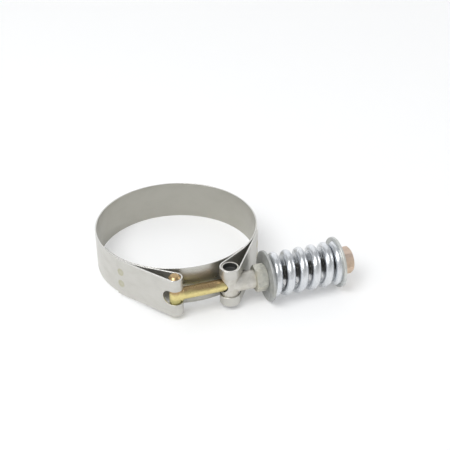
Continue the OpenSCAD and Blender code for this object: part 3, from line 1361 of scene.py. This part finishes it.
@dataclass
class LockNut(HexPiece):
    """Lock nut that squeezes the spring through the outer washer."""

    name: str = "lock_nut_hex"
    start: float = LAYOUT.nut_x
    end: float = LAYOUT.nut_end_x
    bore_r: float = 3.2

    def build(self) -> None:
        """Makes the nut and dresses it in pinkish chromate."""
        finish = Chromate(
            "copper_zinc",
            colour=(0.74, 0.58, 0.45),
            # Painted shade: a little darker over the top and the underside of the nut.
            top_shade=(0.66, 0.53, 0.44),
            below=(0.66, 0.53, 0.39),
            roughness=0.5,
            spread=6.0,
        )
        dress(self.mesh(), finish.material(), Body.LOCK_NUT, "copper_zinc", "lock_nut")


@dataclass
class Washer:
    """Punched washer: one edge rolled over by the punch and the other left crisp."""

    name: str
    start: float
    body: Body
    node: str
    # Painted light: factor on the greys; below 1 paints shade, above 1 paints light.
    painted_light: float
    radius: float = 11.8
    thickness: float = 1.2
    edge_roll: float = 0.4
    bore_roll: float = 0.2
    edge_crisp: float = 0.15
    bore_crisp: float = 0.1
    sides: int = 128
    greys: tuple[Colour, ...] = ((0.62, 0.63, 0.62), (0.48, 0.49, 0.48), (0.6, 0.6, 0.55))

    def build(self) -> None:
        """Turns the washer's section about the bolt and dresses it in grey zinc scaled by its painted light.
        """
        end = self.start + self.thickness
        corners = [
            (self.start, LAYOUT.bore_r, self.bore_roll),
            (self.start, self.radius, self.edge_roll),
            (end, self.radius, self.edge_crisp),
            (end, LAYOUT.bore_r, self.bore_crisp),
        ]
        piece = lathe(self.name, corners, Axis.BOLT, LAYOUT.bolt_line, self.sides, closed=True)
        # Painted light: the greys are scaled by this washer's factor.
        colours = [tuple(self.painted_light * part for part in grey) for grey in self.greys]
        finish = DullZinc(f"grey_zinc_{self.name}", *colours, roughness=0.55)
        dress(piece, finish.material(), self.body, "grey_zinc", self.node)


@dataclass
class Spring:
    """Coil spring with closing ends ground flat on the planes of the washers.

    The pitch at its tips is in diameters of the wire.
    """

    wire_r: float = 2.15
    coil_r: float = 8.15
    open_turns: float = 4.7
    end_turns: float = 0.6
    tip_pitch: float = 1.02
    first_tip_deg: float = 54.0
    rings_per_turn: int = 72
    sides: int = 44
    length: float = LAYOUT.spring_end_x - LAYOUT.spring_x
    shortest: float = 26.904

    @property
    def turns(self) -> float:
        """All turns of the wire."""
        return self.open_turns + 2 * self.end_turns

    def rise(self, turn: Floats) -> Floats:
        """Gives the wire's place along the bolt: a fine pitch, the open pitch, and the fine pitch again.

        Args:
            turn: Turns from the first tip.

        Returns:
            Distances from the first seat. Each tip lies against the turn beside it.
        """
        tip = self.tip_pitch * 2 * self.wire_r
        open_pitch = (self.length - 2 * tip) / (self.turns - 2)
        end_pitch = (tip - (1 - self.end_turns) * open_pitch) / self.end_turns
        opened = np.clip(turn - self.end_turns, 0.0, self.open_turns)
        last = np.maximum(turn - self.end_turns - self.open_turns, 0.0)
        return end_pitch * (np.minimum(turn, self.end_turns) + last) + open_pitch * opened

    def mesh(self) -> Piece:
        """Makes the coil: circles of wire round the helix, held between the two ground planes.

        Returns:
            The piece, whose lay is the distance along the wire and the place on its section.
        """
        turn = np.linspace(0.0, self.turns, round(self.turns * self.rings_per_turn))[:, None]
        out, ahead = (self.wire_r * wave(circle(self.sides)) for wave in (np.cos, np.sin))
        reach = self.coil_r + out
        angle = 2 * math.pi * turn + math.radians(self.first_tip_deg)
        along = np.clip(self.rise(turn) + ahead, 0.0, self.length)
        across, height = LAYOUT.bolt_y + reach * np.sin(angle), reach * np.cos(angle)
        points = np.stack([LAYOUT.spring_x + along, across, height], axis=-1)
        lay = np.stack(np.broadcast_arrays(2 * math.pi * self.coil_r * turn, out, ahead), axis=-1)
        return shell("spring_coil", [Patch(with_poles(points), with_poles(lay), close_columns=True)])

    def build(self) -> None:
        """Makes the spring and dresses it in bright zinc."""
        piece = self.mesh()
        finish = BrightZinc("bright_zinc", colour=(0.74, 0.755, 0.77), cast=(0.66, 0.685, 0.72))
        dress(piece, finish.material(), Body.CLAMP, "bright_zinc", "spring")
        self.shortest / self.length
        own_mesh(piece)


# Studio


def stand(name: str, data: bpy.types.ID, place: Place | Floats, directions: list[Floats]) -> Piece:
    """Adds a lamp or a camera to the scene.

    Args:
        name: Its name.
        data: What it is.
        place: Where it is, in metres.
        directions: Its right, its up and its back.

    Returns:
        The lamp or the camera.
    """
    made = bpy.data.objects.new(name, data)
    turn = Matrix(np.column_stack(directions).tolist()).to_4x4()
    made.matrix_world = Matrix.Translation(place) @ turn
    bpy.context.scene.collection.objects.link(made)
    return made


@dataclass(frozen=True)
class Lamp:
    """Square soft lamp, with its place and the length of its side in metres."""

    name: str
    place: Place
    size: float
    watts: float

    def hang(self, aim: Place) -> None:
        """Adds the lamp, with its back turned from a place and its right square to Y.

        Args:
            aim: The place that it faces, in metres.
        """
        light = bpy.data.lights.new(self.name, "AREA")
        light.size, light.energy = self.size, self.watts
        back = np.array(self.place) - np.array(aim)
        back = back / np.linalg.norm(back)
        right = np.cross((0.0, 1.0, 0.0), back)
        right = right / np.linalg.norm(right)
        stand(self.name, light, self.place, [right, np.cross(back, right), back])


@dataclass
class Studio:
    """White sweep that the clamp lies on, soft lamps, a grey surround and the photograph's camera."""

    floor_z: float = -10.598
    floor_slope: float = 0.02875
    floor_r: float = 1300.0
    sweep_r: float = 500.0
    wall_top: float = 700.0
    sweep_points: int = 16
    sweep_sides: int = 96
    paint: float = 0.99
    glow_share: float = 0.25
    surround: Colour = (0.96, 0.98, 1.0)
    surround_level: float = 0.5
    camera_place: Place = (-98.75, -376.07, 255.38)
    turn_deg: float = 18.11
    raise_deg: float = 32.493
    roll_deg: float = -0.578
    lens_mm: float = 77.852
    sensor_mm: float = 36.0
    near_m: float = 0.01
    far_m: float = 20.0
    lamp_aim: Place = (0.015, -0.01, 0.0)
    lamps: tuple[Lamp, ...] = (
        Lamp("lamp_key", (-0.42, -0.3, 0.76), 0.5, 4.6),
        Lamp("lamp_left", (-0.85, -0.1, 0.32), 0.4, 0.9),
        Lamp("lamp_right", (0.82, -0.12, 0.38), 0.34, 0.9),
        Lamp("lamp_back", (0.2, 0.85, 0.62), 1.2, 2.6),
    )

    def floor(self) -> None:
        """Makes the floor: a round that bends up into a low wall, tilted to touch washers and band."""
        bend, edge_r = quarter(self.sweep_points), self.floor_r + self.sweep_r
        reach = np.concatenate([[0.0], self.floor_r + self.sweep_r * np.sin(bend), [edge_r]])
        rise = np.concatenate([[0.0], self.sweep_r * (1.0 - np.cos(bend)), [self.wall_top]])
        sweep = turned(np.column_stack([rise, reach]), Axis.RING, (0.0, 0.0), self.sweep_sides)
        sweep.points[..., 2] += self.floor_z + self.floor_slope * sweep.points[..., 1]
        floor = shell("floor", [sweep])
        floor.data.materials.append(self.floor_white())

    def floor_white(self) -> Material:
        """Builds the floor's white: matt paint, with a share of glow where the floor is seen or mirrored.

        Returns:
            The material.
        """
        graph = Graph("floor_white")
        paint = graph.node("ShaderNodeBsdfDiffuse", inputs={"Color": (self.paint,) * 3 + (1.0,)})
        glow = graph.node("ShaderNodeEmission", inputs={"Color": (1.0,) * 4, "Strength": 1.0})
        path = graph.node("ShaderNodeLightPath").outputs
        rays = (path["Is Camera Ray"], path["Is Glossy Ray"], path["Is Transmission Ray"])
        camera, glossy, through = (Value(graph, ray) for ray in rays)
        share = camera.larger(glossy).larger(through) * self.glow_share
        inputs = {0: share, 1: paint.outputs[0], 2: glow.outputs[0]}
        return graph.finish(graph.node("ShaderNodeMixShader", inputs=inputs))

    def world(self) -> None:
        """Makes the surround: even grey light from above the sweep."""
        world = bpy.data.worlds.new("surround")
        world.use_nodes = True
        light = world.node_tree.nodes["Background"]
        light.inputs["Color"].default_value = (*self.surround, 1.0)
        light.inputs["Strength"].default_value = self.surround_level
        bpy.context.scene.world = world

    def camera(self) -> None:
        """Sets the camera: its back points up and away from the clamp, then it rolls about its view."""
        turn, lift, roll = (math.radians(angle) for angle in (self.turn_deg, self.raise_deg, self.roll_deg))
        level = math.cos(lift)
        back = np.array([-math.sin(turn) * level, -math.cos(turn) * level, math.sin(lift)])
        right = np.array([math.cos(turn), -math.sin(turn), 0.0])
        up = np.cross(back, right)
        across = math.cos(roll) * right + math.sin(roll) * up
        upright = math.cos(roll) * up - math.sin(roll) * right
        data = bpy.data.cameras.new("camera")
        data.lens, data.sensor_width, data.sensor_fit = self.lens_mm, self.sensor_mm, "HORIZONTAL"
        data.clip_start, data.clip_end = self.near_m, self.far_m
        place = np.array(self.camera_place) * MM
        bpy.context.scene.camera = stand("camera", data, place, [across, upright, back])

    def build(self) -> None:
        """Sets the whole studio."""
        bpy.context.scene.view_settings.view_transform = "Standard"
        self.camera()
        self.floor()
        self.world()
        for lamp in self.lamps:
            lamp.hang(self.lamp_aim)


def main() -> None:
    """Builds the studio, then each sub-assembly of the clamp in the order in which it goes together."""
    logging.basicConfig(level=logging.INFO, format="%(name)s: %(message)s")
    Studio().build()
    Band().build()
    Liner().build()
    TBolt().build()
    Trunnion().build()
    HexCollar().build()
    # Painted light: the inner washer is darkened as shade, the outer one lightened.
    Washer("washer_inner", LAYOUT.collar_end_x, Body.CLAMP, "inner_washer", painted_light=0.8).build()
    Spring().build()
    Washer("washer_outer", LAYOUT.spring_end_x, Body.OUTER_WASHER, "outer_washer", painted_light=1.08).build()
    LockNut().build()


if __name__ == "__main__":
    main()
